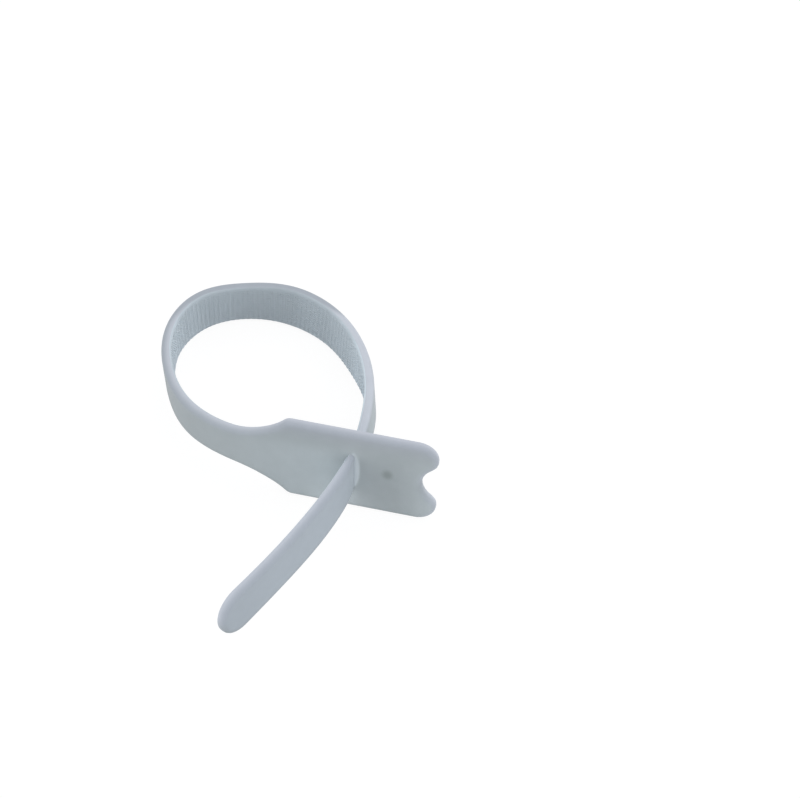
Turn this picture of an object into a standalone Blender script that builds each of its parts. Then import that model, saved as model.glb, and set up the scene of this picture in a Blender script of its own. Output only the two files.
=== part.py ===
"""A hook and loop cable tie, closed into a ring.

The tie is one flat piece cut from double-sided hook and loop tape: a wide head with a slot and a
notched end, a narrow strap, and a round tail. The model makes that flat blank first, then bends it
along a route, so that the strap stands on its edge, goes once round and passes through the slot in
its own head. At last the bent tie is leaned back until it rests on its head and on the back of its
ring. Lengths are in metres, +Z is up, and the head lies along X with its smooth side facing -Y.
"""

import math

import bmesh
import bpy
import numpy as np

MM = 0.001

# The flat tie. Distances along it are measured from the tips of the head's two prongs.
STRAP_WIDTH = 12.7 * MM
THICKNESS = 2.4 * MM
HEAD_WIDTH = 26.0 * MM
HEAD_LENGTH = 36.2 * MM
PRONG_SPACING = 16.0 * MM
PRONG_RADIUS = 3.5 * MM
NOTCH_DEPTH = 3.7 * MM
NECK_RADIUS = 17.6 * MM
SHOULDER_REACH = 1.2 * MM
EDGE_ROUND = 0.6 * MM

# The slot across the head that the strap passes through.
SLOT_FROM_END = 20.3 * MM
SLOT_WIDTH = 3.5 * MM
SLOT_LENGTH = 15.8 * MM

# The ring, seen from above, is this wide and deep from the slot, along the middle of the strap.
RING_WIDTH = 53.0 * MM
RING_DEPTH = 46.0 * MM
TAIL_REACH = 51.5 * MM
NECK_STRAIGHT = 4.0 * MM
HEAD_LEAN = -3.5

# How far apart the bent strap's rows of corners are.
ROW_STEP = 1.6 * MM

# Where the strap goes after the head: shares of the ring's width and depth, then how much higher it
# runs there than at the slot, as a share of its own width, and how far its top leans out, in degrees.
RING_ROUTE = [
    (-0.590, 0.033, -0.028, 1.5),
    (-0.792, 0.134, -0.005, 1.5),
    (-0.935, 0.340, 0.013, 1.0),
    (-0.992, 0.598, 0.038, -1.5),
    (-0.914, 0.833, 0.047, 0.0),
    (-0.724, 0.969, 0.008, -2.5),
    (-0.505, 0.996, -0.012, 4.5),
    (-0.292, 0.909, -0.055, 6.0),
    (-0.136, 0.732, -0.039, 4.5),
    (-0.023, 0.495, -0.023, -2.5),
    (0.007, 0.250, 0.001, 0.0),
]

# The same for the tail, as shares of how far it reaches past the slot.
TAIL_ROUTE = [
    (-0.079, -0.319, 0.000, -3.0),
    (-0.197, -0.604, -0.012, -2.5),
    (-0.357, -0.931, -0.024, -4.0),
]

TAPE_COLOUR = (0.37, 0.41, 0.45, 1.0)


def clear_scene():
    for old in list(bpy.data.objects):
        bpy.data.objects.remove(old, do_unlink=True)


def arc(centre, radius, start, end, count):
    """Points on a circle between two angles in radians."""
    angles = np.linspace(start, end, count)
    return [(centre[0] + radius * math.cos(a), centre[1] + radius * math.sin(a)) for a in angles]


def eased(before, corner, after):
    """Points that round off a corner between the points on its two sides."""
    points = []
    for t in (0.2, 0.4, 0.6, 0.8):
        weights = ((1 - t) ** 2, 2 * t * (1 - t), t * t)
        along = sum(w * p[0] for w, p in zip(weights, (before, corner, after)))
        across = sum(w * p[1] for w, p in zip(weights, (before, corner, after)))
        points.append((along, across))
    return points


def half_outline(length):
    """One side of the flat tie, from the bottom of the notch to the tip of the tail."""
    half_head = HEAD_WIDTH / 2
    half_strap = STRAP_WIDTH / 2
    prong = PRONG_SPACING / 2

    # The notch and the inner side of the prong are two arcs that run into each other smoothly.
    notch_radius = (prong**2 + NOTCH_DEPTH**2) / (2 * NOTCH_DEPTH) - PRONG_RADIUS
    notch_centre = (NOTCH_DEPTH - notch_radius, 0.0)
    meeting = math.atan2(prong, PRONG_RADIUS - notch_centre[0])
    notch = arc(notch_centre, notch_radius, 0.0, meeting, 9)
    inner = arc((PRONG_RADIUS, prong), PRONG_RADIUS, math.pi + meeting, math.pi, 8)
    outer_radius = half_head - prong
    outer = arc((outer_radius, prong), outer_radius, math.pi, math.pi / 2, 12)

    drop = NECK_RADIUS - (half_head - half_strap)
    neck_length = math.sqrt(NECK_RADIUS**2 - drop**2)
    neck_centre = (HEAD_LENGTH + neck_length, half_strap + NECK_RADIUS)
    neck_start = -math.pi / 2 - math.acos(drop / NECK_RADIUS) + SHOULDER_REACH / NECK_RADIUS
    neck = arc(neck_centre, NECK_RADIUS, neck_start, -math.pi / 2, 12)
    head_edge = (HEAD_LENGTH - SHOULDER_REACH, half_head)
    shoulder = eased(head_edge, (HEAD_LENGTH, half_head), neck[0])

    tip = arc((length - half_strap, 0.0), half_strap, math.pi / 2, 0.0, 13)
    return notch + inner[1:] + outer[1:] + [head_edge] + shoulder + neck + tip


def add_prism(name, outline, bottom, top):
    """An object whose flat outline, given anticlockwise, is filled and given a thickness."""
    bm = bmesh.new()
    corners = [bm.verts.new((x, y, bottom)) for x, y in outline]
    floor = bm.faces.new(corners)
    raised = bmesh.ops.extrude_face_region(bm, geom=[floor])
    moved = [item for item in raised["geom"] if isinstance(item, bmesh.types.BMVert)]
    bmesh.ops.translate(bm, verts=moved, vec=(0.0, 0.0, top - bottom))
    bmesh.ops.recalc_face_normals(bm, faces=bm.faces[:])
    mesh = bpy.data.meshes.new(name)
    bm.to_mesh(mesh)
    bm.free()
    prism = bpy.data.objects.new(name, mesh)
    bpy.context.scene.collection.objects.link(prism)
    return prism


def flat_blank(length):
    """The flat tie before its slot is cut: X along it, Y across it, the smooth side up."""
    side = half_outline(length)
    other_side = [(x, -y) for x, y in reversed(side[1:-1])]
    outline = [(x, -y) for x, y in side] + [(x, -y) for x, y in other_side]
    return add_prism("strap", outline, -THICKNESS / 2, THICKNESS / 2)


def slot_cutter():
    """The punch for the slot: long across the head, with round ends."""
    radius = SLOT_WIDTH / 2
    reach = SLOT_LENGTH / 2 - radius
    far_end = arc((SLOT_FROM_END, reach), radius, 0.0, math.pi, 13)
    near_end = arc((SLOT_FROM_END, -reach), radius, math.pi, 2 * math.pi, 13)
    punch = add_prism("slot_cutter", far_end + near_end, -THICKNESS, THICKNESS)
    punch.hide_render = True
    punch.display_type = "WIRE"
    return punch


def cut_slot(blank):
    punch = slot_cutter()
    cut = blank.modifiers.new("slot", "BOOLEAN")
    cut.operation = "DIFFERENCE"
    cut.solver = "EXACT"
    cut.object = punch
    bpy.context.view_layer.objects.active = blank
    bpy.ops.object.modifier_apply(modifier=cut.name)
    bpy.data.objects.remove(punch, do_unlink=True)


def rim_edges(bm):
    """The edges between the tie's two flat sides and its cut edge."""
    found = []
    for edge in bm.edges:
        flat = [abs(face.normal.z) > 0.5 for face in edge.link_faces]
        if len(flat) == 2 and flat[0] != flat[1]:
            found.append(edge)
    return found


def round_rims_and_add_rows(blank, start, length):
    """Rounds the rims, then cuts the strap into short rows so that it can bend smoothly."""
    bm = bmesh.new()
    bm.from_mesh(blank.data)
    rims = rim_edges(bm)
    bmesh.ops.bevel(bm, geom=rims, offset=EDGE_ROUND, segments=3, profile=0.5, affect="EDGES")
    rows = int(round((length - start) / ROW_STEP))
    for place in np.linspace(start, length, rows, endpoint=False):
        everything = bm.verts[:] + bm.edges[:] + bm.faces[:]
        plane = {"plane_co": (place, 0.0, 0.0), "plane_no": (1.0, 0.0, 0.0)}
        bmesh.ops.bisect_plane(bm, geom=everything, dist=1e-7, **plane)
    bmesh.ops.triangulate(bm, faces=bm.faces[:])
    bm.to_mesh(blank.data)
    bm.free()


def spline_slopes(steps, values, first):
    """Slopes at the given points of the smoothest curve through them, with a known first slope."""
    count = len(values)
    system = np.zeros((count, count))
    right = np.zeros((count, values.shape[1]))
    system[0, 0] = 1.0
    right[0] = first
    for i in range(1, count - 1):
        system[i, i - 1 : i + 2] = (
            1 / steps[i - 1],
            2 / steps[i - 1] + 2 / steps[i],
            1 / steps[i],
        )
        before = (values[i] - values[i - 1]) / steps[i - 1] ** 2
        after = (values[i + 1] - values[i]) / steps[i] ** 2
        right[i] = 3 * (before + after)
    system[-1, -2:] = (1.0, 2.0)
    right[-1] = 3 * (values[-1] - values[-2]) / steps[-1]
    return np.linalg.solve(system, right)


def route_stations():
    """Each place the strap passes: across, back, up, and how far its top leans outwards."""
    head_end = SLOT_FROM_END - HEAD_LENGTH - NECK_STRAIGHT
    stations = [(head_end, 0.0, 0.0, HEAD_LEAN)]
    stations += [(x * RING_WIDTH, y * RING_DEPTH, z * STRAP_WIDTH, a) for x, y, z, a in RING_ROUTE]
    stations += [(0.0, 0.0, 0.0, 0.0)]
    stations += [(x * TAIL_REACH, y * TAIL_REACH, z * STRAP_WIDTH, a) for x, y, z, a in TAIL_ROUTE]
    return np.array(stations)


def finished_route():
    """Close points along the tie: distance from the prongs, place, and lean in degrees."""
    stations = route_stations()
    steps = np.linalg.norm(np.diff(stations[:, :2], axis=0), axis=1)
    slopes = spline_slopes(steps, stations, (-1.0, 0.0, 0.0, 0.0))
    pieces = []
    for i, step in enumerate(steps):
        t = np.linspace(0.0, 1.0, 40, endpoint=False)[:, None]
        first = (1 + 2 * t) * (1 - t) ** 2 * stations[i] + t * (1 - t) ** 2 * step * slopes[i]
        second = t * t * (3 - 2 * t) * stations[i + 1] - t * t * (1 - t) * step * slopes[i + 1]
        pieces.append(first + second)
    curve = np.vstack(pieces + [stations[-1:]])
    shoulder = SLOT_FROM_END - HEAD_LENGTH
    head = np.array([[SLOT_FROM_END, 0.0, 0.0, HEAD_LEAN], [shoulder, 0.0, 0.0, HEAD_LEAN]])
    curve = np.vstack([head, curve])
    lengths = np.linalg.norm(np.diff(curve[:, :3], axis=0), axis=1)
    distance = np.concatenate([[0.0], np.cumsum(lengths)])
    return distance, curve[:, :3], curve[:, 3]


def unit(vectors):
    return vectors / np.linalg.norm(vectors, axis=1, keepdims=True)


def bend(blank, distance, places, leans):
    """Moves each corner of the flat tie to its place on the route. Its -Y edge becomes the top."""
    corners = np.array([vertex.co for vertex in blank.data.vertices])
    along, across, out = corners[:, 0], -corners[:, 1], corners[:, 2]
    middle = np.array([np.interp(along, distance, axis) for axis in places.T]).T
    between = (distance[:-1] + distance[1:]) / 2
    headings = unit(np.diff(places, axis=0))
    forward = unit(np.array([np.interp(along, between, axis) for axis in headings.T]).T)
    lean = np.radians(np.interp(along, distance, leans))[:, None]
    up = np.array([[0.0, 0.0, 1.0]])
    upright = unit(up - forward * forward[:, 2:])
    outward = np.cross(upright, forward)
    width_way = np.cos(lean) * upright + np.sin(lean) * outward
    smooth_way = np.cross(width_way, forward)
    bent = middle + width_way * across[:, None] + smooth_way * out[:, None]
    return bent, along


def leaned_back(bent, angle):
    """The corners turned about the head's length, the back of the ring going down."""
    turned = bent.copy()
    turned[:, 1] = bent[:, 1] * math.cos(angle) + bent[:, 2] * math.sin(angle)
    turned[:, 2] = bent[:, 2] * math.cos(angle) - bent[:, 1] * math.sin(angle)
    return turned


def at_rest(bent, along):
    """The tie leaned back until its head and the back of its ring both reach the ground."""
    head = along < HEAD_LENGTH
    low, high = 0.0, math.radians(45)
    for _ in range(40):
        angle = (low + high) / 2
        heights = leaned_back(bent, angle)[:, 2]
        if heights[head].min() < heights[~head].min():
            low = angle
        else:
            high = angle
    rested = leaned_back(bent, (low + high) / 2)
    smallest, largest = rested.min(axis=0), rested.max(axis=0)
    centre = (smallest + largest) / 2
    return rested - np.array([centre[0], centre[1], smallest[2]])


def add_tape_material(strap):
    tape = bpy.data.materials.new("pale grey hook and loop tape")
    tape.use_nodes = True
    shader = tape.node_tree.nodes["Principled BSDF"]
    shader.inputs["Base Color"].default_value = TAPE_COLOUR
    shader.inputs["Roughness"].default_value = 0.8
    strap.data.materials.append(tape)


def make_strap():
    distance, places, leans = finished_route()
    length = distance[-1]
    strap = flat_blank(length)
    cut_slot(strap)
    round_rims_and_add_rows(strap, HEAD_LENGTH, length)
    bent, along = bend(strap, distance, places, leans)
    rested = at_rest(bent, along)
    for vertex, place in zip(strap.data.vertices, rested):
        vertex.co = place
    strap.data.update()
    add_tape_material(strap)
    return strap


clear_scene()
make_strap()
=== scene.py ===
# %% [markdown]
# A hook and loop cable tie, closed into a ring. The real tie is one flat piece, die-cut from tape
# whose two faces differ: the outer face is smooth, pressed loop fabric, and the inner face carries
# rows of small moulded hooks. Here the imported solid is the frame, and this lesson dresses it: first
# the camera, the floor and the light, then the flat tape, its hooks, its bend and its finishes.

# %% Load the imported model
import math

import bmesh
import bpy
import numpy as np
from mathutils import Matrix


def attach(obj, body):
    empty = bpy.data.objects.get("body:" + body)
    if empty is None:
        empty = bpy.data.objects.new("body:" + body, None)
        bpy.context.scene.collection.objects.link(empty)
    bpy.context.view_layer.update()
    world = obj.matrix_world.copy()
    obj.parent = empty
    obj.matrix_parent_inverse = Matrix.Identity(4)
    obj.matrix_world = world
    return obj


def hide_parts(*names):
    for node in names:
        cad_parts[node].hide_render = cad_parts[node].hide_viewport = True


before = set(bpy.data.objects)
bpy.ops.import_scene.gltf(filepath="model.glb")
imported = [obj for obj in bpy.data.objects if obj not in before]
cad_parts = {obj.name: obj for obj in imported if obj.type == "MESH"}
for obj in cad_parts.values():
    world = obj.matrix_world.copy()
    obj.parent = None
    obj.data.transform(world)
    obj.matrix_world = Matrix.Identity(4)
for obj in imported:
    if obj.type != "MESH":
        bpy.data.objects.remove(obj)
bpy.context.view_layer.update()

MM = 0.001

# %% [markdown]
# The camera stands where the photograph was taken from: above the tie and a little to its right.
# A camera can be placed by its angles, or by the directions of its right, up and back axes. The
# axes are used here, because they also hold the small roll of a hand-held picture.

# %% Camera
CAMERA_PLACE = (0.07295, -0.17885, 0.36233)
CAMERA_RIGHT = (0.97606, 0.21707, -0.01403)
CAMERA_UP = (-0.18017, 0.84290, 0.50700)
CAMERA_LENS = 75.96

camera_data = bpy.data.cameras.new("camera")
camera_data.sensor_width = 36.0
camera_data.lens = CAMERA_LENS
camera_data.clip_start = 0.01
camera = bpy.data.objects.new("camera", camera_data)
bpy.context.scene.collection.objects.link(camera)
right = np.array(CAMERA_RIGHT) / np.linalg.norm(CAMERA_RIGHT)
up = np.array(CAMERA_UP) - right * np.dot(right, CAMERA_UP)
up /= np.linalg.norm(up)
turn = Matrix(np.array([right, up, np.cross(right, up)]).T.tolist()).to_4x4()
camera.matrix_world = Matrix.Translation(CAMERA_PLACE) @ turn
bpy.context.scene.camera = camera
bpy.context.scene.view_settings.view_transform = "Standard"
print("camera height, mm:", round(1000 * CAMERA_PLACE[2]))

# %% [markdown]
# Materials are made of nodes. One small function adds a node, sets what it is given and joins what
# comes from another node. Others work out a sum with a node, turn the colours that a painter would
# read off a screen (sRGB hex) into the linear values that the renderer adds up, and start a new
# material.

# %% Node and colour helpers
def add_node(tree, kind, sockets=None, **settings):
    """A new node: settings are its properties, sockets its inputs, by name or number."""
    node = tree.nodes.new(kind)
    for name, value in settings.items():
        setattr(node, name, value)
    for key, value in (sockets or {}).items():
        if isinstance(value, bpy.types.NodeSocket):
            tree.links.new(value, node.inputs[key])
        else:
            node.inputs[key].default_value = value
    return node


def worked_out(tree, operation, *values, **settings):
    """The result of a sum on numbers or on what comes from other nodes."""
    settings["operation"] = operation
    return add_node(tree, "ShaderNodeMath", dict(enumerate(values)), **settings).outputs[0]


def colour(code):
    """A linear colour from an sRGB hex code."""
    shares = [int(code[i : i + 2], 16) / 255 for i in (1, 3, 5)]
    linear = [c / 12.92 if c <= 0.04045 else ((c + 0.055) / 1.055) ** 2.4 for c in shares]
    return (*linear, 1.0)


def new_material(name):
    """A material with its node tree and its shader."""
    material = bpy.data.materials.new(name)
    material.use_nodes = True
    tree = material.node_tree
    return material, tree, tree.nodes["Principled BSDF"]


def set_surface(shader, settings):
    """Sets a shader's plain inputs by their names."""
    for name, value in settings.items():
        shader.inputs[name].default_value = value


print("white turns into", colour("#ffffff"))

# %% [markdown]
# The tie stands on white paper. The floor is a large plane with a matt white finish. Most of its
# white is given to the camera directly, so that the paper stays white to its far end. The rest is
# lit as usual and keeps a trace of the tie's soft shadow.

# %% Floor
PAPER_GLOW = 1.04
PAPER_GLOW_SHARE = 0.88

bpy.ops.object.select_all(action="DESELECT")
bpy.ops.mesh.primitive_plane_add(size=6.0, location=(0.0, 0.0, 0.0))
floor = bpy.context.object
floor.name = "paper"
paper, tree, shader = new_material("matt white paper")
surface = {"Base Color": colour("#f7f7f8"), "Roughness": 0.9, "Specular IOR Level": 0.1}
set_surface(shader, surface)
rays = add_node(tree, "ShaderNodeLightPath").outputs
mirrored = worked_out(tree, "MAXIMUM", rays["Is Glossy Ray"], rays["Is Transmission Ray"])
seen = worked_out(tree, "MAXIMUM", rays["Is Camera Ray"], mirrored)
share = worked_out(tree, "MULTIPLY", seen, PAPER_GLOW_SHARE)
white = {"Color": colour("#ffffff"), "Strength": PAPER_GLOW}
white = add_node(tree, "ShaderNodeEmission", white)
mixed = {0: share, 1: shader.outputs[0], 2: white.outputs[0]}
mixed = add_node(tree, "ShaderNodeMixShader", mixed)
tree.links.new(mixed.outputs[0], tree.nodes["Material Output"].inputs["Surface"])
floor.data.materials.append(paper)
print("floor", floor.name)

# %% [markdown]
# Soft studio light comes from all round, as inside a white tent. Three weaker panels give it some
# direction: one above and behind the tie for its top edges, and one on each side. The level is
# plain: a colour renders about as written.

# %% World and lamps
world = bpy.data.worlds.new("white tent")
world.use_nodes = True
background = world.node_tree.nodes["Background"]
background.inputs["Color"].default_value = colour("#fbfdff")
background.inputs["Strength"].default_value = 0.72
bpy.context.scene.world = world


def add_panel(name, place, target, size, power, code):
    """A square area lamp that faces a point."""
    data = bpy.data.lights.new(name, "AREA")
    data.size = size
    data.energy = power
    data.color = colour(code)[:3]
    lamp = bpy.data.objects.new(name, data)
    bpy.context.scene.collection.objects.link(lamp)
    away = np.array(place) - np.array(target)
    back = away / np.linalg.norm(away)
    side = np.cross((0.0, 1.0, 0.0), back)
    side /= np.linalg.norm(side)
    axes = np.array([side, np.cross(back, side), back]).T
    lamp.matrix_world = Matrix.Translation(place) @ Matrix(axes.tolist()).to_4x4()
    return lamp


add_panel("top panel", (0.10, 0.30, 0.80), (0.0, 0.0, 0.0), 0.70, 1.8, "#fafaff")
add_panel("left panel", (-0.55, -0.65, 0.30), (0.0, 0.0, 0.01), 0.50, 1.25, "#fdfeff")
add_panel("right panel", (0.75, -0.25, 0.40), (0.0, 0.0, 0.01), 0.60, 1.0, "#fdfeff")

# %% [markdown]
# The tie's sizes are repeated from the part's source, in metres, and the head's own lean in degrees.
# Only the slot differs: the solid's lets the strap pass freely, while here the strap fills it, as in
# the real tie. The height of the hooks is new. The flat tie is measured along s, from the tips of its
# two prongs, and across v, from its middle line to its edges.

# %% Sizes of the flat tie
STRAP_WIDTH = 12.7 * MM
THICKNESS = 2.4 * MM
HEAD_WIDTH = 26.0 * MM
HEAD_LENGTH = 36.2 * MM
PRONG_SPACING = 16.0 * MM
PRONG_RADIUS = 3.5 * MM
NOTCH_DEPTH = 3.7 * MM
NECK_RADIUS = 17.6 * MM
SHOULDER_REACH = 1.2 * MM
SLOT_FROM_END = 20.3 * MM
SLOT_WIDTH = 1.0 * MM
SLOT_LENGTH = 12.1 * MM
RING_WIDTH = 53.0 * MM
RING_DEPTH = 46.0 * MM
TAIL_REACH = 51.5 * MM
NECK_STRAIGHT = 4.0 * MM
HEAD_LEAN = -3.5
HOOK_HEIGHT = 0.11 * MM
print("head, mm:", round(HEAD_WIDTH / MM, 1), "by", round(HEAD_LENGTH / MM, 1))

# %% [markdown]
# The bent tie follows one smooth route: out of the head, once round the ring, square through the
# slot and out to the tail. A few stations are enough, and the curve between them is the one that
# bends least, which is also what a springy strap does. A station gives its place as shares of the
# ring's width, the ring's depth (for the tail, of its reach) and the strap's width, and its lean in
# degrees.

# %% Route of the strap
SPAN_STEPS = 40
RING_ROUTE = [
    (-0.590, 0.033, -0.028, 1.5),
    (-0.792, 0.134, -0.005, 1.5),
    (-0.935, 0.340, 0.013, 1.0),
    (-0.992, 0.598, 0.038, -1.5),
    (-0.914, 0.833, 0.047, 0.0),
    (-0.724, 0.969, 0.008, -2.5),
    (-0.505, 0.996, -0.012, 4.5),
    (-0.292, 0.909, -0.055, 6.0),
    (-0.136, 0.732, -0.039, 4.5),
    (-0.023, 0.495, -0.023, -2.5),
    (0.007, 0.250, 0.001, 0.0),
]
TAIL_ROUTE = [
    (-0.079, -0.319, 0.000, -3.0),
    (-0.197, -0.604, -0.012, -2.5),
    (-0.357, -0.931, -0.024, -4.0),
]


def spline_slopes(steps, values, first):
    """Slopes of the smoothest curve through the points, with a known first slope."""
    count = len(values)
    system = np.zeros((count, count))
    right_side = np.zeros((count, values.shape[1]))
    system[0, 0] = 1.0
    right_side[0] = first
    for i in range(1, count - 1):
        a, b = steps[i - 1], steps[i]
        system[i, i - 1 : i + 2] = (1 / a, 2 / a + 2 / b, 1 / b)
        before = (values[i] - values[i - 1]) / a**2
        right_side[i] = 3 * (before + (values[i + 1] - values[i]) / b**2)
    system[-1, -2:] = (1.0, 2.0)
    right_side[-1] = 3 * (values[-1] - values[-2]) / steps[-1]
    return np.linalg.solve(system, right_side)


def finished_route():
    """Close points along the tie: distance from the prongs, place, and lean in degrees."""
    head_end = SLOT_FROM_END - HEAD_LENGTH - NECK_STRAIGHT
    stations = [(head_end, 0.0, 0.0, HEAD_LEAN)]
    stations += [(x * RING_WIDTH, y * RING_DEPTH, z * STRAP_WIDTH, a) for x, y, z, a in RING_ROUTE]
    stations += [(0.0, 0.0, 0.0, 0.0)]
    stations += [(x * TAIL_REACH, y * TAIL_REACH, z * STRAP_WIDTH, a) for x, y, z, a in TAIL_ROUTE]
    stations = np.array(stations)
    steps = np.linalg.norm(np.diff(stations[:, :2], axis=0), axis=1)
    slopes = spline_slopes(steps, stations, (-1.0, 0.0, 0.0, 0.0))
    curve = []
    for i, step in enumerate(steps):
        t = np.linspace(0.0, 1.0, SPAN_STEPS, endpoint=False)[:, None]
        first = (1 + 2 * t) * (1 - t) ** 2 * stations[i] + t * (1 - t) ** 2 * step * slopes[i]
        second = t * t * (3 - 2 * t) * stations[i + 1] - t * t * (1 - t) * step * slopes[i + 1]
        curve.append(first + second)
    shoulder = SLOT_FROM_END - HEAD_LENGTH
    head = [(SLOT_FROM_END, 0.0, 0.0, HEAD_LEAN), (shoulder, 0.0, 0.0, HEAD_LEAN)]
    curve = np.vstack([head] + curve + [stations[-1:]])
    lengths = np.linalg.norm(np.diff(curve[:, :3], axis=0), axis=1)
    distance = np.concatenate([[0.0], np.cumsum(lengths)])
    return distance, curve[:, :3], curve[:, 3]


route_distance, route_places, route_leans = finished_route()
TIE_LENGTH = route_distance[-1]
CROSSING_S = route_distance[2 + SPAN_STEPS * (1 + len(RING_ROUTE))]
print("flat length, mm:", round(TIE_LENGTH / MM, 1), "through the slot at", round(CROSSING_S / MM, 1))

# %% [markdown]
# Every piece is modelled flat, where it is easy to draw, and is bent at the end. To bend, each point
# of the flat tie moves to its place on the route: along it, across it and out from it. The flat mesh
# counts y downwards, so the bend turns its sign, or else the piece would come out inside out. The
# whole is then leaned back, because the head is wider than the strap and the ring's back reaches the
# paper.

# %% Bending a flat piece along the route
LEAN_BACK = math.radians(7.8716)
CROSSING = np.array((16.8199, 0.0722, 12.8631)) * MM


def unit(vectors):
    """Each vector made one long."""
    return vectors / np.linalg.norm(vectors, axis=1, keepdims=True)


def bent_places(flat):
    """Where points of the flat tie (along, across, out) go on the finished tie."""
    along, across, out = np.asarray(flat).T
    middle = np.array([np.interp(along, route_distance, axis) for axis in route_places.T]).T
    between = (route_distance[:-1] + route_distance[1:]) / 2
    headings = unit(np.diff(route_places, axis=0))
    forward = unit(np.array([np.interp(along, between, axis) for axis in headings.T]).T)
    lean = np.radians(np.interp(along, route_distance, route_leans))[:, None]
    upright = unit(np.array([[0.0, 0.0, 1.0]]) - forward * forward[:, 2:])
    outward = np.cross(upright, forward)
    width_way = np.cos(lean) * upright + np.sin(lean) * outward
    smooth_way = np.cross(width_way, forward)
    bent = middle + width_way * across[:, None] + smooth_way * out[:, None]
    turned = bent.copy()
    turned[:, 1] = bent[:, 1] * math.cos(LEAN_BACK) + bent[:, 2] * math.sin(LEAN_BACK)
    turned[:, 2] = bent[:, 2] * math.cos(LEAN_BACK) - bent[:, 1] * math.sin(LEAN_BACK)
    return turned + CROSSING


def bend_piece(piece):
    """Keeps each point's place on the flat tie as a UV map in millimetres, then bends the piece."""
    mesh = piece.data
    flat = np.empty(len(mesh.vertices) * 3)
    mesh.vertices.foreach_get("co", flat)
    flat = flat.reshape(-1, 3) * (1.0, -1.0, 1.0)
    corner_points = np.empty(len(mesh.loops), dtype=np.int64)
    mesh.loops.foreach_get("vertex_index", corner_points)
    for old in list(mesh.uv_layers):
        mesh.uv_layers.remove(old)
    layer = mesh.uv_layers.new(name="flat_tie")
    layer.data.foreach_set("uv", (flat[corner_points, :2] / MM).ravel())
    mesh.vertices.foreach_set("co", bent_places(flat).ravel())
    mesh.update()


slot_middle = bent_places([(SLOT_FROM_END, 0.0, 0.0)])[0]
print("slot's middle on the bent tie, mm:", [round(c / MM, 2) for c in slot_middle])

# %% [markdown]
# The fabric could be cut from a filled outline, but long thin faces shade badly once bent. A grid is
# better: its rows run across the tie, and its points are moved so that the grid's border becomes the
# outline, with notch, prongs, shoulders, neck and tip. Three functions describe that outline.

# %% Outline of the tie as functions
def side_table():
    """Half widths along the tie, with the round shoulder and the hollow neck."""
    half_head, half_strap = HEAD_WIDTH / 2, STRAP_WIDTH / 2
    drop = NECK_RADIUS - (half_head - half_strap)
    neck_length = math.sqrt(NECK_RADIUS**2 - drop**2)
    start = -math.pi / 2 - math.acos(drop / NECK_RADIUS) + SHOULDER_REACH / NECK_RADIUS
    angles = np.linspace(start, -math.pi / 2, 40)
    neck_s = HEAD_LENGTH + neck_length + NECK_RADIUS * np.cos(angles)
    neck_v = half_strap + NECK_RADIUS + NECK_RADIUS * np.sin(angles)
    t = np.linspace(0.0, 1.0, 20)[:-1]
    before, after = (1 - t) ** 2, t * t
    edge = HEAD_LENGTH - SHOULDER_REACH
    shoulder_s = before * edge + 2 * t * (1 - t) * HEAD_LENGTH + after * neck_s[0]
    shoulder_v = (1 - after) * half_head + after * neck_v[0]
    s = np.concatenate([[0.0], shoulder_s, neck_s, [1.0]])
    return s, np.concatenate([[half_head], shoulder_v, neck_v, [half_strap]])


SIDE_S, SIDE_V = side_table()


def half_width(s):
    """Half the tie's width at a distance s, before its two ends are rounded."""
    return np.interp(s, SIDE_S, SIDE_V)


def head_end(v):
    """Where the notched end lies at a distance v from the middle line."""
    v = np.abs(v)
    prong = PRONG_SPACING / 2
    notch_radius = (prong**2 + NOTCH_DEPTH**2) / (2 * NOTCH_DEPTH) - PRONG_RADIUS
    middle = NOTCH_DEPTH - notch_radius
    meeting = notch_radius * math.sin(math.atan2(prong, PRONG_RADIUS - middle))
    notch = middle + np.sqrt(notch_radius**2 - np.clip(v, 0.0, meeting) ** 2)
    inner = PRONG_RADIUS - np.sqrt(PRONG_RADIUS**2 - np.clip(prong - v, 0.0, PRONG_RADIUS) ** 2)
    outer_radius = HEAD_WIDTH / 2 - prong
    past = np.clip(v - prong, 0.0, outer_radius)
    outer = outer_radius - np.sqrt(outer_radius**2 - past**2)
    return np.where(v < meeting, notch, np.where(v < prong, inner, outer))


def tail_end(v):
    """Where the round tip lies at a distance v from the middle line."""
    radius = STRAP_WIDTH / 2
    return TIE_LENGTH - radius + np.sqrt(np.clip(radius**2 - v**2, 0.0, None))


print("notch bottom, mm:", round(float(head_end(0.0)) / MM, 2))

# %% [markdown]
# The tape is soft, so a cut edge has no corner left: the sheet swells from a thin border to its full
# thickness within about a millimetre. That needs the distance from each grid point to the outline,
# which is measured to the short straight pieces of a closely drawn outline.

# %% Distance to the cut edge
POINTS_AT_ONCE = 400


def outline_points():
    """The whole outline as close points, once round the flat tie."""
    turn = np.linspace(-math.pi / 2, math.pi / 2, 240)
    head_v = HEAD_WIDTH / 2 * np.sin(turn)
    tail_v = STRAP_WIDTH / 2 * np.sin(turn)
    side_s = np.linspace(HEAD_WIDTH / 2 - PRONG_SPACING / 2, TIE_LENGTH - STRAP_WIDTH / 2, 700)
    near = np.stack([head_end(head_v), head_v], axis=1)
    upper = np.stack([side_s, half_width(side_s)], axis=1)
    far = np.stack([tail_end(tail_v), tail_v], axis=1)[::-1]
    lower = np.stack([side_s, -half_width(side_s)], axis=1)[::-1]
    return np.concatenate([near, upper[1:-1], far, lower[1:-1]])


OUTLINE = outline_points()


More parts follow.
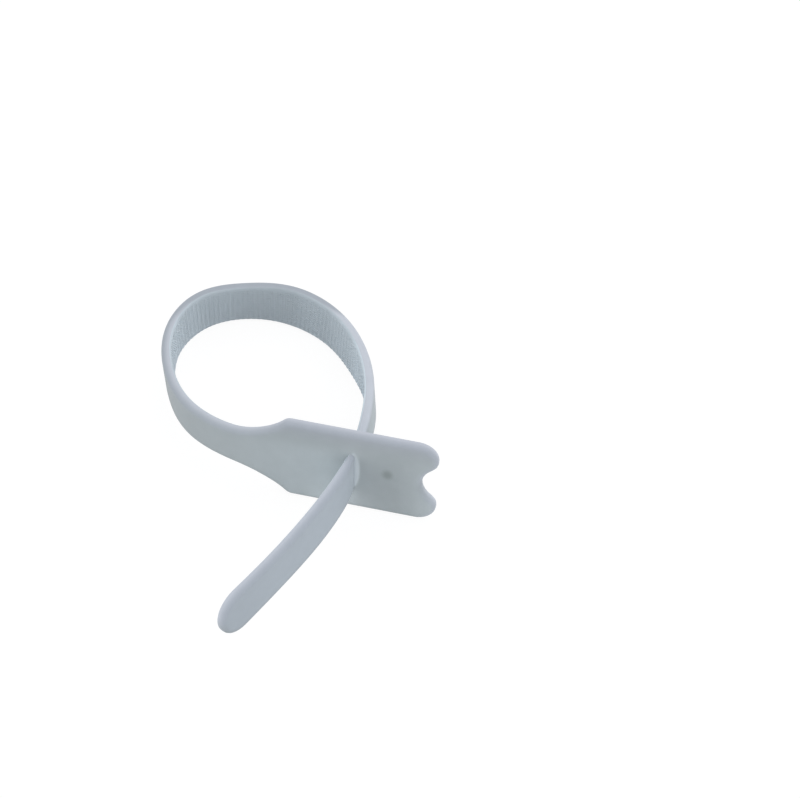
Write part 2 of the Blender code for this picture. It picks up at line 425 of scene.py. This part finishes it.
def edge_distance(points):
    """How far flat points lie from the outline, inside or outside."""
    start, finish = OUTLINE, np.roll(OUTLINE, -1, axis=0)
    piece = finish - start
    size = np.maximum((piece**2).sum(axis=1), 1e-18)
    found = []
    for group in np.array_split(points, max(1, len(points) // POINTS_AT_ONCE)):
        gap = group[:, None, :] - start[None]
        share = np.clip((gap * piece[None]).sum(axis=2) / size, 0.0, 1.0)
        gap = gap - share[:, :, None] * piece[None]
        found.append(np.sqrt((gap**2).sum(axis=2).min(axis=1)))
    return np.concatenate(found)


print("outline points:", len(OUTLINE), "length, mm:", round(OUTLINE[:, 0].max() / MM, 1))

# %% [markdown]
# The grid's columns lie closer together near the two edges, where the sheet swells, and its rows lie
# closer together at the two ends. Round the slot the rows keep clear of the slot's own edge, so that
# this edge can be bevelled later. Where the strap passes through the slot, the slot squeezes it.

# %% Fabric sheet
END_BLEND = 9.0 * MM
OUTER_SWELL = 1.05 * MM
INNER_SWELL = 0.75 * MM
SHEET_BOTTOM = -THICKNESS / 2 + HOOK_HEIGHT / 2
SQUEEZE_SHARE = 0.36
SQUEEZE_REACH = 3.2 * MM
SQUEEZE_MIDDLE = CROSSING_S + 0.6 * MM
COLUMNS = 37
columns = np.sin(np.linspace(-math.pi / 2, math.pi / 2, COLUMNS))
end_steps = np.array([0.0, 0.05, 0.15, 0.3, 0.5, 0.75, 1.05, 1.4, 1.8, 2.3, 2.9, 3.6])
rows = np.concatenate([
    end_steps,
    np.linspace(4.3, 17.6, 26),
    [17.9, 18.2, 18.45, 18.65, 18.85, 19.1, 19.4, 20.3, 21.2, 22.0],
    np.linspace(23.0, 34.4, 22),
    np.linspace(34.8, 38.0, 11),
    np.linspace(38.5, TIE_LENGTH / MM - 4.4, 240),
    TIE_LENGTH / MM - end_steps[::-1],
]) * MM


def flat_grid_points(across, along):
    """Along and across places of grid corners, given shares of the width and plain distances."""
    v = across * half_width(along)
    start = np.clip((END_BLEND - along) / END_BLEND, 0.0, 1.0)
    finish = np.clip((along - TIE_LENGTH + END_BLEND) / END_BLEND, 0.0, 1.0)
    s = along + start * head_end(v) + finish * (tail_end(v) - TIE_LENGTH)
    return s, v


def swollen(distance, radius):
    """How far below its full height the sheet's face lies, at a distance from the cut edge."""
    left = np.clip(radius - distance, 0.0, radius)
    return radius - np.sqrt(radius**2 - left**2)


def deselect():
    """Leaves edit mode and selects nothing."""
    if bpy.context.mode != "OBJECT":
        bpy.ops.object.mode_set(mode="OBJECT")
    bpy.ops.object.select_all(action="DESELECT")


def add_flat_sheet(name):
    """The flat tie as a closed mesh with round borders."""
    deselect()
    size = {"x_subdivisions": len(rows) - 1, "y_subdivisions": COLUMNS - 1}
    bpy.ops.mesh.primitive_grid_add(**size, size=2.0, location=(0.0, 0.0, 0.0))
    sheet = bpy.context.object
    sheet.name = name
    points = np.empty(len(sheet.data.vertices) * 3)
    sheet.data.vertices.foreach_get("co", points)
    points = points.reshape(-1, 3)
    row = np.rint((points[:, 0] + 1) / 2 * (len(rows) - 1)).astype(int)
    column = np.rint((points[:, 1] + 1) / 2 * (COLUMNS - 1)).astype(int)
    s, v = flat_grid_points(columns[column], rows[row])
    placed = np.stack([s, v, np.full(len(s), SHEET_BOTTOM)], axis=1)
    sheet.data.vertices.foreach_set("co", placed.ravel())
    bpy.ops.object.mode_set(mode="EDIT")
    bpy.ops.mesh.select_all(action="SELECT")
    move = {"value": (0.0, 0.0, THICKNESS / 2 - SHEET_BOTTOM)}
    bpy.ops.mesh.extrude_region_move(TRANSFORM_OT_translate=move)
    bpy.ops.mesh.select_all(action="SELECT")
    bpy.ops.mesh.normals_make_consistent(inside=False)
    bpy.ops.object.mode_set(mode="OBJECT")
    return sheet


def round_borders(sheet):
    """Lowers the two faces towards the cut edge, so that the border comes out round."""
    places = np.empty(len(sheet.data.vertices) * 3)
    sheet.data.vertices.foreach_get("co", places)
    places = places.reshape(-1, 3)
    distance = edge_distance(places[:, :2])
    outer = places[:, 2] > 0.0
    places[:, 2] -= np.where(outer, swollen(distance, OUTER_SWELL), 0.0)
    places[:, 2] += np.where(outer, 0.0, swollen(distance, INNER_SWELL))
    sheet.data.vertices.foreach_set("co", places.ravel())


def squeeze(sheet):
    """Thins the strap where it passes through its own slot."""
    for vertex in sheet.data.vertices:
        away = (vertex.co.x - SQUEEZE_MIDDLE) / SQUEEZE_REACH
        vertex.co.z *= 1.0 - SQUEEZE_SHARE * math.exp(-(away**2))


fabric = add_flat_sheet("fabric_tape")
round_borders(fabric)
squeeze(fabric)
print(fabric.name, "faces:", len(fabric.data.polygons))

# %% [markdown]
# The slot is punched through the head. A punch is modelled as a block whose four upright edges are
# bevelled until its ends are round, and a Boolean takes its shape out of the sheet. The punch is a
# little smaller than the squeezed strap, so the strap fills the slot and no gap shows beside it.

# %% Punch the slot
def add_punch(name, width, length):
    """A tall block with round ends, on the middle of the slot."""
    deselect()
    bpy.ops.mesh.primitive_cube_add(size=1.0, location=(SLOT_FROM_END, 0.0, 0.0))
    punch = bpy.context.object
    punch.name = name
    punch.scale = (width, length, 10 * THICKNESS)
    bpy.ops.object.transform_apply(location=True, rotation=True, scale=True)
    bpy.ops.object.mode_set(mode="EDIT")
    bpy.ops.mesh.select_all(action="DESELECT")
    shape = bmesh.from_edit_mesh(punch.data)
    for edge in shape.edges:
        edge.select = abs(edge.verts[0].co.z - edge.verts[1].co.z) > THICKNESS
    bmesh.update_edit_mesh(punch.data)
    bpy.ops.mesh.bevel(offset=0.45 * width, segments=8)
    bpy.ops.object.mode_set(mode="OBJECT")
    return punch


def punch_slot(piece, width, length):
    """Takes the punch's shape out of a piece."""
    punch = add_punch("slot_punch", width, length)
    cut = piece.modifiers.new("slot", "BOOLEAN")
    cut.operation = "DIFFERENCE"
    cut.solver = "EXACT"
    cut.object = punch
    bpy.context.view_layer.objects.active = piece
    bpy.ops.object.modifier_apply(modifier=cut.name)
    bpy.data.objects.remove(punch, do_unlink=True)
    print(piece.name, "after the slot:", len(piece.data.polygons), "faces")


punch_slot(fabric, SLOT_WIDTH, SLOT_LENGTH)

# %% [markdown]
# The slot's edge is the only sharp one left. A Bevel modifier that looks for sharp angles rounds it,
# as the fibres do when they relax. Then the fabric beside the slot is pushed out into a low lip.

# %% Round the slot and raise its lip
LIP_MIDDLE = (19.8 * MM, 1.0 * MM)
LIP_REACH = (1.45 * MM, 6.5 * MM)
LIP_HEIGHT = 0.38 * MM
SLOT_ROUNDING = 0.22 * MM
ROUNDING_STEPS = 3


def round_sharp_edges(piece):
    """Rounds the edges that meet at a sharp angle."""
    bevel = piece.modifiers.new("slot_rim", "BEVEL")
    bevel.width = SLOT_ROUNDING
    bevel.segments = ROUNDING_STEPS
    bevel.limit_method = "ANGLE"
    bevel.angle_limit = math.radians(60)
    bevel.use_clamp_overlap = True
    bevel.harden_normals = False
    bpy.context.view_layer.objects.active = piece
    bpy.ops.object.modifier_apply(modifier=bevel.name)


def raise_lip(piece):
    """Lifts a lip on the smooth side, along the slot's edge on the side of the prongs."""
    for vertex in piece.data.vertices:
        s, v, out = vertex.co
        away = math.hypot((s - LIP_MIDDLE[0]) / LIP_REACH[0], (-v - LIP_MIDDLE[1]) / LIP_REACH[1])
        if out > 0.0 and s < SLOT_FROM_END and away < 1.0:
            vertex.co.z += LIP_HEIGHT * math.sqrt(1.0 - away**2)


round_sharp_edges(fabric)
raise_lip(fabric)
print(fabric.name, "with a round slot:", len(fabric.data.polygons), "faces")

# %% [markdown]
# One hook is modelled and then repeated. It starts as a small square just inside the sheet, which is
# extruded along a crook: up the stem, over the bend and down to the tip, narrower at each step. A
# step of the crook gives how far it reaches sideways in millimetres, how high it stands as a share
# of the hook's height, and how thick it is in millimetres.

# %% One hook
HOOK_FOOT = 0.38 * MM
HOOK_ROOT = 0.10 * MM
CROOK = [
    (0.03, 0.60, 0.30),
    (0.20, 0.97, 0.22),
    (0.36, 0.72, 0.14),
]


def model_hook():
    """A single hook that stands on the origin and bends over along X, as corners and faces."""
    deselect()
    bpy.ops.mesh.primitive_plane_add(size=HOOK_FOOT, location=(0.0, 0.0, -HOOK_ROOT))
    hook = bpy.context.object
    bpy.ops.object.mode_set(mode="EDIT")
    bpy.ops.mesh.select_all(action="SELECT")
    sideways, height, width = 0.0, -HOOK_ROOT, HOOK_FOOT
    for lean, rise, thick in CROOK:
        new_place = (lean * MM, rise * HOOK_HEIGHT)
        step = (new_place[0] - sideways, 0.0, new_place[1] - height)
        bpy.ops.mesh.extrude_region_move(TRANSFORM_OT_translate={"value": step})
        shrink = thick * MM / width
        bpy.ops.transform.resize(value=(shrink, shrink, 1.0))
        sideways, height = new_place
        width = thick * MM
    bpy.ops.mesh.select_all(action="SELECT")
    bpy.ops.mesh.normals_make_consistent(inside=False)
    bpy.ops.object.mode_set(mode="OBJECT")
    bpy.ops.object.transform_apply(location=True, rotation=True, scale=True)
    corners = np.array([vertex.co for vertex in hook.data.vertices])
    faces = [tuple(face.vertices) for face in hook.data.polygons]
    bpy.data.objects.remove(hook, do_unlink=True)
    return corners, faces


hook_corners, hook_faces = model_hook()
print("one hook:", len(hook_faces), "faces,", round(hook_corners[:, 2].max() / MM, 2), "mm high")

# %% [markdown]
# The hooks stand in straight rows across the tape, and each second row bends the other way. They
# stop short of the round borders and of the slot, and reach closest to the low edge of the head and
# the ring. By chance each hook leans a little, is a little taller or lower, and one in ten is turned
# over by use. The chance has a fixed seed, so the rows come out the same every time.

# %% Plant the hooks
HOOK_ROW = 0.66 * MM
HOOK_STEP = 0.62 * MM
BORDER = 1.2 * MM
LOW_BORDER = 0.45 * MM
SLOT_BORDER = 0.9 * MM
PRONGS_END = 8.0 * MM
CHANCE_SEED = 7
LEAN_SPREAD = 0.06
TALL_SPREAD = 0.04
TALL_LIMITS = (0.85, 1.1)
TURNED_SHARE = 0.1


def hook_places():
    """Along, across and bending direction of each hook on the flat tie."""
    places = []
    for number in range(int(TIE_LENGTH / HOOK_ROW)):
        s = (number + 0.5) * HOOK_ROW
        half = float(half_width(s))
        for v in np.linspace(-half, half, int(2 * half / HOOK_STEP)):
            places.append((s, v, 1.0 if number % 2 else -1.0))
    places = np.array(places)
    s, v = places[:, 0], places[:, 1]
    inside = (s > head_end(v)) & (s < tail_end(v))
    low_side = (v > 0.0) & (s > PRONGS_END) & (s < CROSSING_S)
    border = np.where(low_side, LOW_BORDER, BORDER)
    inside &= edge_distance(places[:, :2]) > border
    in_slot = np.abs(s - SLOT_FROM_END) < SLOT_WIDTH / 2 + SLOT_BORDER
    in_slot &= np.abs(v) < SLOT_LENGTH / 2 + SLOT_BORDER
    return places[inside & ~in_slot]


def hook_points(places, chance):
    """The corners of every hook on the flat tie, and which way each one bends."""
    count = len(places)
    lean = chance.normal(0.0, LEAN_SPREAD, (count, 2))
    tall = 1.0 + chance.normal(0.0, TALL_SPREAD, count)
    turned = np.where(chance.random(count) < TURNED_SHARE, -1.0, 1.0) * places[:, 2]
    foot = SHEET_BOTTOM + swollen(edge_distance(places[:, :2]), INNER_SWELL)
    up_way = np.clip(tall, *TALL_LIMITS)[:, None] * hook_corners[None, :, 2]
    x = turned[:, None] * hook_corners[None, :, 0] + lean[:, 0, None] * up_way
    y = hook_corners[None, :, 1] + lean[:, 1, None] * up_way
    z = foot[:, None] - np.clip(up_way, -HOOK_ROOT, HOOK_HEIGHT)
    x, y = places[:, 0, None] + x, places[:, 1, None] + y
    return np.stack([x, y, z], axis=2).reshape(-1, 3), turned


def plant_hooks(places):
    """One mesh of all the hooks, on the inner side of the flat tie."""
    corners, turned = hook_points(places, np.random.default_rng(CHANCE_SEED))
    faces = []
    for i, way in enumerate(turned):
        for face in hook_faces:
            moved = [i * len(hook_corners) + corner for corner in face]
            faces.append(moved[::-1] if way > 0 else moved)
    mesh = bpy.data.meshes.new("hook_rows")
    mesh.from_pydata(corners.tolist(), [], faces)
    piece = bpy.data.objects.new("hook_rows", mesh)
    bpy.context.scene.collection.objects.link(piece)
    return piece


hooks = plant_hooks(hook_places())
print(hooks.name, "hooks:", len(hooks.data.polygons) // len(hook_faces))

# %% [markdown]
# Both pieces are finished flat, so now they are bent along the route, shaded smooth, and tied to
# the imported model: they ride on its one body, and the sheet replaces its plain strap. Before the
# bend, each point of the sheet keeps how close it lies to the cut edge, and how far out, for the
# painted highlight on the cut edge. The faces that look inwards are the film that the hooks grow
# from.

# %% Bend the pieces and tie them to the model
EDGE_REACH = 1.0 * MM
FACE, FILM = 0, 1
FILM_SIDE = -0.6
SMOOTH_BELOW = 55


def shade(piece, degrees):
    """Shades a piece smooth, apart from edges sharper than an angle."""
    deselect()
    piece.select_set(True)
    bpy.context.view_layer.objects.active = piece
    bpy.ops.object.shade_smooth_by_angle(angle=math.radians(degrees))


def keep_edge_places(piece):
    """Stores 1 on the cut edge and 0 inwards, then 0 on the inner face and 1 on the outer."""
    flat = np.empty(len(piece.data.vertices) * 3)
    piece.data.vertices.foreach_get("co", flat)
    flat = flat.reshape(-1, 3)
    close = np.exp(-((edge_distance(flat[:, :2]) / EDGE_REACH) ** 2))
    values = {"edge_closeness": close, "outer_share": flat[:, 2] / THICKNESS + 0.5}
    for name, value in values.items():
        layer = piece.data.attributes.new(name, "FLOAT", "POINT")
        layer.data.foreach_set("value", value)


zones = np.zeros(len(fabric.data.polygons), dtype=np.int32)
for face in fabric.data.polygons:
    if face.normal.z < FILM_SIDE:
        zones[face.index] = FILM
keep_edge_places(fabric)
for piece in (fabric, hooks):
    bend_piece(piece)
    shade(piece, SMOOTH_BELOW)
    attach(piece, "root")
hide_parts("strap")
print("zones of the sheet:", np.bincount(zones).tolist())

# %% [markdown]
# The finishes are painted in the flat tie's own millimetres. Small functions give a point's place on
# the flat tie, a soft change from 0 to 1, a mix of two colours, a paler or darker colour, and a
# factor that changes along the tie by a short list of stops, which carries painted light and shade.

# %% Painting helpers
def flat_place(tree):
    """A point's place on the flat tie, from the piece's own UV map, and its two parts."""
    place = add_node(tree, "ShaderNodeUVMap", uv_map="flat_tie").outputs[0]
    parts = add_node(tree, "ShaderNodeSeparateXYZ", {0: place}).outputs
    return place, parts["X"], parts["Y"]


def eased_share(tree, value, low, high):
    """0 at one value and 1 at another, with a smooth change between them."""
    sockets = {"Value": value, "From Min": low, "From Max": high}
    return add_node(tree, "ShaderNodeMapRange", sockets, interpolation_type="SMOOTHSTEP").outputs[0]


def blended(tree, share, first, second):
    """Two colours mixed by a share."""
    sockets = {0: share, 6: first, 7: second}
    return add_node(tree, "ShaderNodeMix", sockets, data_type="RGBA").outputs[2]


def brightened(tree, tint, factor):
    """A colour made paler or darker by a factor."""
    sockets = {"Color": tint, "Value": factor}
    return add_node(tree, "ShaderNodeHueSaturation", sockets).outputs[0]


def painted_light_along(tree, along, stops):
    """A factor that changes along the tie, from a few (millimetre, factor) stops."""
    total = stops[0][1]
    for (start, first), (finish, second) in zip(stops[:-1], stops[1:]):
        share = eased_share(tree, along, start, finish)
        total = worked_out(tree, "MULTIPLY_ADD", share, second - first, total)
    return total


print("maps on the tape:", [layer.name for layer in fabric.data.uv_layers])

# %% [markdown]
# The outer face is polyamide loop fabric, pressed flat with heat. Across the wide head its colour
# turns from a cool violet grey near the top edge, which is painted light from above, to a greener
# grey near the bottom one, and the tail is a little bluer. Along the tie, painted light and shade
# make it paler at the prongs, on the neck just past the slot and again at the start of the tail,
# and darkest at the ring's left side. This painted light fades out towards the top edge of the head.
# The shade of a small dimple darkens the head as a painted spot, and the lip beside the slot is
# paler with a painted highlight.

# %% Colour of the fabric's face, with painted light and shade
# Painted light and shade along the face, as (millimetre, factor) stops.
FACE_PAINTED_LIGHT = [
    (0, 1.30), (3, 1.18), (6.5, 1.06), (10, 0.99), (13, 1.01), (17, 1.07), (21, 1.30), (27, 1.34),
    (34, 1.23), (42, 1.13), (52, 1.04), (64, 0.97), (80, 0.87), (110, 0.97), (176, 1.30),
    (192, 1.14), (215, 1.08), (230, 1.02),
]
FACE_LOW, FACE_TOP_SKYLIT, FACE_TAIL = colour("#a1a9ac"), colour("#a2a8af"), colour("#a3acb4")
DIMPLE_SHADE_COLOUR, LIP_HIGHLIGHT = colour("#7d8685"), colour("#b8c0c5")
# The top of the head takes painted light from above, as a cooler violet grey.
TOP_LIGHT_TINT_SPAN = (7.0, 14.0)
TAIL_TINT_SPAN = (176.0, 190.0)
PAINTED_LIGHT_FADE_SPAN = (1.0, 12.0)
# A small dimple in the head is not modelled; its shade is painted as a dark oval spot.
DIMPLE_PLACE = (11.8, 1.4, 0.0)
DIMPLE_TURN = 0.7
DIMPLE_SHAPE = (1.0, 0.8, 1.0)
DIMPLE_SHADE_SPAN = (2.0, 0.3)
DIMPLE_SHADE_STRENGTH = 0.7
# The raised lip beside the slot gets a painted highlight.
LIP_HIGHLIGHT_SPAN = (1.05, 0.75)


def painted_dimple_shade(tree, place):
    """The painted shade of a small dimple in the head: a soft oval spot, strongest in its middle."""
    centred = {0: place, 1: DIMPLE_PLACE}
    centred = add_node(tree, "ShaderNodeVectorMath", centred, operation="SUBTRACT")
    turned = {"Vector": centred.outputs[0], "Rotation": (0.0, 0.0, DIMPLE_TURN), "Scale": DIMPLE_SHAPE}
    turned = add_node(tree, "ShaderNodeMapping", turned)
    away = add_node(tree, "ShaderNodeVectorMath", {0: turned.outputs[0]}, operation="LENGTH")
    spot = eased_share(tree, away.outputs["Value"], *DIMPLE_SHADE_SPAN)
    return worked_out(tree, "MULTIPLY", spot, DIMPLE_SHADE_STRENGTH)


def lip_highlight_share(tree, place):
    """1 on the raised lip beside the slot, where a highlight is painted, with a soft border."""
    middle = (LIP_MIDDLE[0] / MM, LIP_MIDDLE[1] / MM, 0.0)
    reach = (LIP_REACH[0] / MM, LIP_REACH[1] / MM, 1.0)
    centred = add_node(tree, "ShaderNodeVectorMath", {0: place, 1: middle}, operation="SUBTRACT")
    centred = {0: centred.outputs[0], 1: reach}
    centred = add_node(tree, "ShaderNodeVectorMath", centred, operation="DIVIDE")
    away = add_node(tree, "ShaderNodeVectorMath", {0: centred.outputs[0]}, operation="LENGTH")
    return eased_share(tree, away.outputs["Value"], *LIP_HIGHLIGHT_SPAN)


def face_colour(tree, place, along, across):
    """The outer face with its tints and its painted light, shade and highlights."""
    tint = blended(tree, eased_share(tree, across, *TOP_LIGHT_TINT_SPAN), FACE_LOW, FACE_TOP_SKYLIT)
    tint = blended(tree, eased_share(tree, along, *TAIL_TINT_SPAN), tint, FACE_TAIL)
    tint = blended(tree, painted_dimple_shade(tree, place), tint, DIMPLE_SHADE_COLOUR)
    tint = blended(tree, lip_highlight_share(tree, place), tint, LIP_HIGHLIGHT)
    # Painted light and shade along the tie, faded out towards the head's top edge.
    painted_light_share = painted_light_along(tree, along, FACE_PAINTED_LIGHT)
    fade = {"Factor": eased_share(tree, across, *PAINTED_LIGHT_FADE_SPAN), "A": painted_light_share, "B": 1.0}
    return brightened(tree, tint, add_node(tree, "ShaderNodeMix", fade).outputs[0])


print("painted light stops on the face:", len(FACE_PAINTED_LIGHT))

# %% [markdown]
# The soft cut edge gets a painted highlight, so it is paler than the face, and palest beside the
# inner face. Round the back of the ring the highlight is weaker, greyer through its whole thickness,
# and after that, up to the slot, pale all through. The bottom edge is darker with painted shade, but
# not at the tips of the prongs.

# %% Colour of the cut edge, with painted highlight and shade
RIM_HIGHLIGHT_FADE = [
    (0, 1.0), (70, 1.0), (88, 1.05), (100, 1.8), (130, 1.8), (145, 0.1), (172, 0.1), (182, 1.0),
]
# The edge colours paint a highlight, palest on the inner side; the low one paints shade on the bottom
# edge.
RIM_INNER_HIGHLIGHT, RIM_OUTER_HIGHLIGHT, RIM_LOW_SHADE = colour("#d3d7e1"), colour("#abb1bb"), colour("#838c8e")
RIM_DEPTH_SPAN = (0.12, 0.92)
RIM_TOP_SPAN = (-4.0, 3.0)
PRONG_TIPS_SPAN = (7.0, 1.0)
RIM_HIGHLIGHT_STRENGTH = 0.7


def rim_highlight_colour(tree, along, across):
    """The cut edge's painted highlight, pale at its inner side, greyer at its outer one, shaded
    below.
    """
    depth = add_node(tree, "ShaderNodeAttribute", attribute_name="outer_share")
    depth = eased_share(tree, depth.outputs["Fac"], *RIM_DEPTH_SPAN)
    fade = painted_light_along(tree, along, RIM_HIGHLIGHT_FADE)
    least = worked_out(tree, "SUBTRACT", fade, 1.0)
    greyer = worked_out(tree, "MULTIPLY_ADD", depth, fade, least, use_clamp=True)
    rim = blended(tree, greyer, RIM_INNER_HIGHLIGHT, RIM_OUTER_HIGHLIGHT)
    # The bottom edge takes painted shade, except at the tips of the prongs.
    upper = eased_share(tree, across, *RIM_TOP_SPAN)
    prongs = eased_share(tree, along, *PRONG_TIPS_SPAN)
    return blended(tree, worked_out(tree, "MAXIMUM", upper, prongs), RIM_LOW_SHADE, rim)


def with_rim_highlight(tree, tint, along, across):
    """The face's colour with the cut edge's painted highlight laid over it."""
    edge = add_node(tree, "ShaderNodeAttribute", attribute_name="edge_closeness").outputs["Fac"]
    edge = worked_out(tree, "MULTIPLY", edge, RIM_HIGHLIGHT_STRENGTH)
    return blended(tree, edge, tint, rim_highlight_colour(tree, along, across))


print("stops along the cut edge:", len(RIM_HIGHLIGHT_FADE))

# %% [markdown]
# Pressing leaves a faint mottle in the colour. Very fine lines across the tape, from the knit, and a
# finer grain are laid on as a bump. The fabric is satin, with a little sheen from its fibres.

# %% Fabric finish
def mottled(tree, tint, place):
    """A colour that varies a little from spot to spot."""
    cloud = {"Vector": place, "Scale": 0.32, "Detail": 3.0, "Roughness": 0.6}
    cloud = add_node(tree, "ShaderNodeTexNoise", cloud)
    change = {"Value": cloud.outputs[0], "To Min": 0.95, "To Max": 1.05}
    return brightened(tree, tint, add_node(tree, "ShaderNodeMapRange", change).outputs[0])


def knit_relief(tree, place):
    """Fine lines across the tape and a finer grain, as a bump."""
    knit = {"Vector": place, "Scale": 0.55, "Distortion": 1.2, "Detail": 1.0}
    knit = add_node(tree, "ShaderNodeTexWave", knit, bands_direction="X").outputs["Fac"]
    grain = {"Vector": place, "Scale": 2.6, "Detail": 2.0}
    grain = add_node(tree, "ShaderNodeTexNoise", grain).outputs[0]
    height = worked_out(tree, "MULTIPLY_ADD", knit, 0.35, grain)
    relief = {"Height": height, "Strength": 0.3, "Distance": 0.03 * MM}
    return add_node(tree, "ShaderNodeBump", relief).outputs[0]


def pressed_loop_fabric():
    """The finish of the outer face and of the cut edge."""
    material, tree, shader = new_material("pressed loop fabric")
    place, along, across = flat_place(tree)
    tint = with_rim_highlight(tree, face_colour(tree, place, along, across), along, across)
    tree.links.new(mottled(tree, tint, place), shader.inputs["Base Color"])
    tree.links.new(knit_relief(tree, place), shader.inputs["Normal"])
    set_surface(shader, {"Roughness": 0.68, "IOR": 1.53, "Specular IOR Level": 0.3})
    set_surface(shader, {"Sheen Weight": 0.2, "Sheen Roughness": 0.5})
    return material


fabric.data.materials.append(pressed_loop_fabric())
print("finish:", fabric.data.materials[FACE].name)

# %% [markdown]
# The hooks and the film that they grow from are moulded from polypropylene in one go. It is a little
# bluer and paler than the fabric. The modelled hooks are coarser and lower than real ones, so that
# seen from afar their rows melt into the faint stripes that real rows show. A soft sheen stands for
# their many round tips. Painted light and shade make film and hooks darkest at the back of the ring
# and palest just before the slot.

# %% Moulded hook finish, with painted light and shade
# Painted light and shade along the inner face, as (millimetre, factor) stops.
FILM_PAINTED_LIGHT = [
    (60, 1.00), (86, 1.10), (95, 0.94), (103, 0.82), (114, 0.73), (122, 0.73), (132, 0.84),
    (143, 0.97), (152, 1.18), (166, 1.32), (182, 1.10), (230, 0.95),
]


def moulded_plastic(name, dark, light, roughness):
    """The finish of the film or of the hooks, between two close colours."""
    material, tree, shader = new_material(name)
    place, along, _ = flat_place(tree)
    cloud = add_node(tree, "ShaderNodeTexNoise", {"Vector": place, "Scale": 0.5})
    tint = blended(tree, cloud.outputs[0], colour(dark), colour(light))
    tint = brightened(tree, tint, painted_light_along(tree, along, FILM_PAINTED_LIGHT))
    tree.links.new(tint, shader.inputs["Base Color"])
    set_surface(shader, {"Roughness": roughness, "IOR": 1.49})
    set_surface(shader, {"Sheen Weight": 0.5, "Sheen Roughness": 0.4})
    return material


film_finish = moulded_plastic("moulded hook film", "#c1ccd3", "#c8d2d9", 0.55)
fabric.data.materials.append(film_finish)
hook_finish = moulded_plastic("moulded hooks", "#c2cdd4", "#cad4da", 0.5)
hooks.data.materials.append(hook_finish)
fabric.data.polygons.foreach_set("material_index", zones)
fabric.data.update()
print("finish:", hooks.data.materials[0].name)
